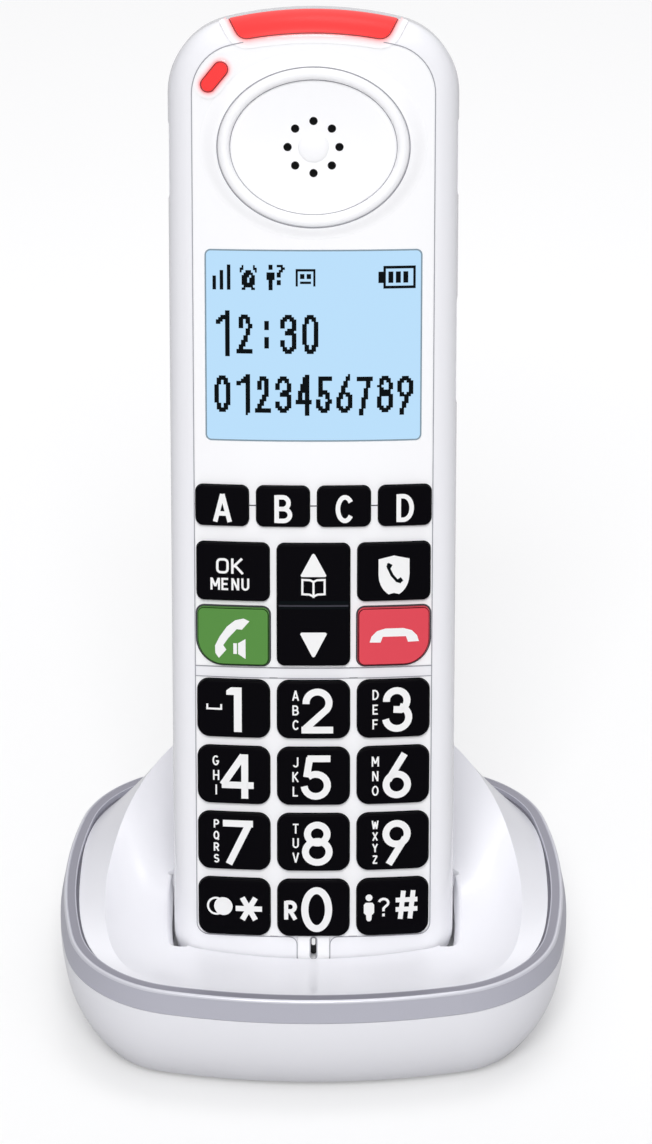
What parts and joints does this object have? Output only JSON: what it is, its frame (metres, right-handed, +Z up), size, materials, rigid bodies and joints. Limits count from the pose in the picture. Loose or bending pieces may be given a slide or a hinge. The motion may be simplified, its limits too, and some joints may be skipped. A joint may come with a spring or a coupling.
{
  "type": "cordless telephone with charging cradle",
  "caption": "Cordless telephone handset with large raised keys and a small display, standing in an oval charging cradle.",
  "frame": {"origin": "on the table, at the middle of the whole part's bounding box in plan", "axes": "+Z up, +X to the right of someone facing the phone, +Y away from them, towards the cradle's sockets"},
  "size_m": [0.0906, 0.0867, 0.1716],
  "materials": {
    "white_casing": "smooth glossy white moulding",
    "white_plate": "smooth glossy white face plates",
    "earpiece_white": "smooth glossy white ring and grille",
    "cradle_white": "smooth glossy white moulding",
    "trim_silver": "satin silver-grey ring",
    "key_black": "smooth near-black caps with white legends",
    "key_green": "smooth green cap with a white legend",
    "key_red": "smooth red cap with a white legend",
    "side_key_white": "smooth white key with small dark marks",
    "lamp_red": "translucent red lens, lit",
    "display_window": "clear window over a light blue backlit display",
    "display_module": "light blue backlit display with black figures",
    "keypad_rubber": "grey silicone rubber",
    "foot_rubber": "dark grey rubber",
    "board_green": "green solder mask",
    "dark_plastic": "black moulding",
    "steel_screw": "plain steel",
    "contact_metal": "bright nickel plate",
    "cell_sleeve": "printed metal can",
    "tray_grey": "grey moulding"
  },
  "bodies": {
    "cradle": {"base_top_shell": "cradle_white", "base_trim_ring": "trim_silver", "base_bottom_shell": "cradle_white", "base_feet": "foot_rubber", "contact_holder": "dark_plastic", "base_circuit_board": "board_green", "line_socket": "dark_plastic", "power_socket": "dark_plastic", "base_screws": "steel_screw"},
    "handset": {"battery_cells": "cell_sleeve", "battery_contacts": "contact_metal", "battery_tray": "tray_grey", "digit_key_plate": "white_plate", "earpiece_grille": "earpiece_white", "earpiece_ring": "earpiece_white", "earpiece_speaker": "dark_plastic", "face_plate": "white_plate", "function_key_plate": "white_plate", "handset_back_cover": "white_casing", "handset_charge_contacts": "contact_metal", "handset_circuit_board": "board_green", "handset_front_frame": "white_casing", "handset_screws": "steel_screw", "handsfree_loudspeaker": "dark_plastic", "keypad_mat": "keypad_rubber", "lcd_module": "display_module", "lcd_window_lens": "display_window", "message_lamp_lens": "lamp_red", "microphone": "dark_plastic", "ringer_lamp_lens": "lamp_red"},
    "key_0": {"key_0": "key_black"},
    "key_1": {"key_1": "key_black"},
    "key_2": {"key_2": "key_black"},
    "key_3": {"key_3": "key_black"},
    "key_4": {"key_4": "key_black"},
    "key_5": {"key_5": "key_black"},
    "key_6": {"key_6": "key_black"},
    "key_7": {"key_7": "key_black"},
    "key_8": {"key_8": "key_black"},
    "key_9": {"key_9": "key_black"},
    "key_block": {"key_block": "key_black"},
    "key_end": {"key_end": "key_red"},
    "key_hash": {"key_hash": "key_black"},
    "key_memory_a": {"key_memory_a": "key_black"},
    "key_memory_b": {"key_memory_b": "key_black"},
    "key_memory_c": {"key_memory_c": "key_black"},
    "key_memory_d": {"key_memory_d": "key_black"},
    "key_nav_rocker": {"key_nav_rocker": "key_black"},
    "key_ok_menu": {"key_ok_menu": "key_black"},
    "key_star": {"key_star": "key_black"},
    "key_talk": {"key_talk": "key_green"},
    "side_key_left": {"side_key_left": "side_key_white"},
    "side_key_boost": {"side_key_boost": "side_key_white"},
    "side_key_volume": {"side_key_volume": "side_key_white"},
    "battery_door": {"battery_door": "white_casing"},
    "base_contact_left": {"base_contact_left": "contact_metal"},
    "base_contact_right": {"base_contact_right": "contact_metal"},
    "page_button": {"page_button": "side_key_white"}
  },
  "joints": [
    {"name": "handset_lift", "type": "slide", "parent": "cradle", "child": "handset", "axis": [0, 0.2588, 0.9659], "range_m": [0, 0.07]},
    {"name": "battery_door_pull", "type": "slide", "parent": "handset", "child": "battery_door", "axis": [0, 0.9659, -0.2588], "range_m": [0, 0.02]},
    {"name": "0_press", "type": "slide", "parent": "handset", "child": "key_0", "axis": [0, 0.9659, -0.2588], "range_m": [0, 0.0005], "stiffness_N_per_m": 800, "springref_m": -0.0004},
    {"name": "1_press", "type": "slide", "parent": "handset", "child": "key_1", "axis": [0, 0.9659, -0.2588], "range_m": [0, 0.0005], "stiffness_N_per_m": 800, "springref_m": -0.0004},
    {"name": "2_press", "type": "slide", "parent": "handset", "child": "key_2", "axis": [0, 0.9659, -0.2588], "range_m": [0, 0.0005], "stiffness_N_per_m": 800, "springref_m": -0.0004},
    {"name": "3_press", "type": "slide", "parent": "handset", "child": "key_3", "axis": [0, 0.9659, -0.2588], "range_m": [0, 0.0005], "stiffness_N_per_m": 800, "springref_m": -0.0004},
    {"name": "4_press", "type": "slide", "parent": "handset", "child": "key_4", "axis": [0, 0.9659, -0.2588], "range_m": [0, 0.0005], "stiffness_N_per_m": 800, "springref_m": -0.0004},
    {"name": "5_press", "type": "slide", "parent": "handset", "child": "key_5", "axis": [0, 0.9659, -0.2588], "range_m": [0, 0.0005], "stiffness_N_per_m": 800, "springref_m": -0.0004},
    {"name": "6_press", "type": "slide", "parent": "handset", "child": "key_6", "axis": [0, 0.9659, -0.2588], "range_m": [0, 0.0005], "stiffness_N_per_m": 800, "springref_m": -0.0004},
    {"name": "7_press", "type": "slide", "parent": "handset", "child": "key_7", "axis": [0, 0.9659, -0.2588], "range_m": [0, 0.0005], "stiffness_N_per_m": 800, "springref_m": -0.0004},
    {"name": "8_press", "type": "slide", "parent": "handset", "child": "key_8", "axis": [0, 0.9659, -0.2588], "range_m": [0, 0.0005], "stiffness_N_per_m": 800, "springref_m": -0.0004},
    {"name": "9_press", "type": "slide", "parent": "handset", "child": "key_9", "axis": [0, 0.9659, -0.2588], "range_m": [0, 0.0005], "stiffness_N_per_m": 800, "springref_m": -0.0004},
    {"name": "block_press", "type": "slide", "parent": "handset", "child": "key_block", "axis": [0, 0.9659, -0.2588], "range_m": [0, 0.0005], "stiffness_N_per_m": 800, "springref_m": -0.0004},
    {"name": "end_press", "type": "slide", "parent": "handset", "child": "key_end", "axis": [0, 0.9659, -0.2588], "range_m": [0, 0.0005], "stiffness_N_per_m": 800, "springref_m": -0.0004},
    {"name": "hash_press", "type": "slide", "parent": "handset", "child": "key_hash", "axis": [0, 0.9659, -0.2588], "range_m": [0, 0.0005], "stiffness_N_per_m": 800, "springref_m": -0.0004},
    {"name": "memory_a_press", "type": "slide", "parent": "handset", "child": "key_memory_a", "axis": [0, 0.9659, -0.2588], "range_m": [0, 0.0005], "stiffness_N_per_m": 800, "springref_m": -0.0004},
    {"name": "memory_b_press", "type": "slide", "parent": "handset", "child": "key_memory_b", "axis": [0, 0.9659, -0.2588], "range_m": [0, 0.0005], "stiffness_N_per_m": 800, "springref_m": -0.0004},
    {"name": "memory_c_press", "type": "slide", "parent": "handset", "child": "key_memory_c", "axis": [0, 0.9659, -0.2588], "range_m": [0, 0.0005], "stiffness_N_per_m": 800, "springref_m": -0.0004},
    {"name": "memory_d_press", "type": "slide", "parent": "handset", "child": "key_memory_d", "axis": [0, 0.9659, -0.2588], "range_m": [0, 0.0005], "stiffness_N_per_m": 800, "springref_m": -0.0004},
    {"name": "nav_rocker_tilt", "type": "hinge", "parent": "handset", "child": "key_nav_rocker", "pos_m": [0, -0.00501, 0.07562], "axis": [1, 0, 0], "range_deg": [-2.5, 2.5], "stiffness_Nm_per_rad": 0.3},
    {"name": "ok_menu_press", "type": "slide", "parent": "handset", "child": "key_ok_menu", "axis": [0, 0.9659, -0.2588], "range_m": [0, 0.0005], "stiffness_N_per_m": 800, "springref_m": -0.0004},
    {"name": "star_press", "type": "slide", "parent": "handset", "child": "key_star", "axis": [0, 0.9659, -0.2588], "range_m": [0, 0.0005], "stiffness_N_per_m": 800, "springref_m": -0.0004},
    {"name": "talk_press", "type": "slide", "parent": "handset", "child": "key_talk", "axis": [0, 0.9659, -0.2588], "range_m": [0, 0.0005], "stiffness_N_per_m": 800, "springref_m": -0.0004},
    {"name": "side_key_left_press", "type": "slide", "parent": "handset", "child": "side_key_left", "axis": [1, 0, 0], "range_m": [0, 0.0004], "stiffness_N_per_m": 800, "springref_m": -0.0004},
    {"name": "side_key_boost_press", "type": "slide", "parent": "handset", "child": "side_key_boost", "axis": [-1, 0, 0], "range_m": [0, 0.0004], "stiffness_N_per_m": 800, "springref_m": -0.0004},
    {"name": "side_key_volume_press", "type": "slide", "parent": "handset", "child": "side_key_volume", "axis": [-1, 0, 0], "range_m": [0, 0.0004], "stiffness_N_per_m": 800, "springref_m": -0.0004},
    {"name": "page_button_press", "type": "slide", "parent": "cradle", "child": "page_button", "axis": [0, -1, 0], "range_m": [0, 0.0005], "stiffness_N_per_m": 800, "springref_m": -0.0004},
    {"name": "base_contact_left_press", "type": "slide", "parent": "cradle", "child": "base_contact_left", "axis": [0, -0.2588, -0.9659], "range_m": [0, 0.0005], "stiffness_N_per_m": 600, "springref_m": -0.0004},
    {"name": "base_contact_right_press", "type": "slide", "parent": "cradle", "child": "base_contact_right", "axis": [0, -0.2588, -0.9659], "range_m": [0, 0.0005], "stiffness_N_per_m": 600, "springref_m": -0.0004}
  ]
}
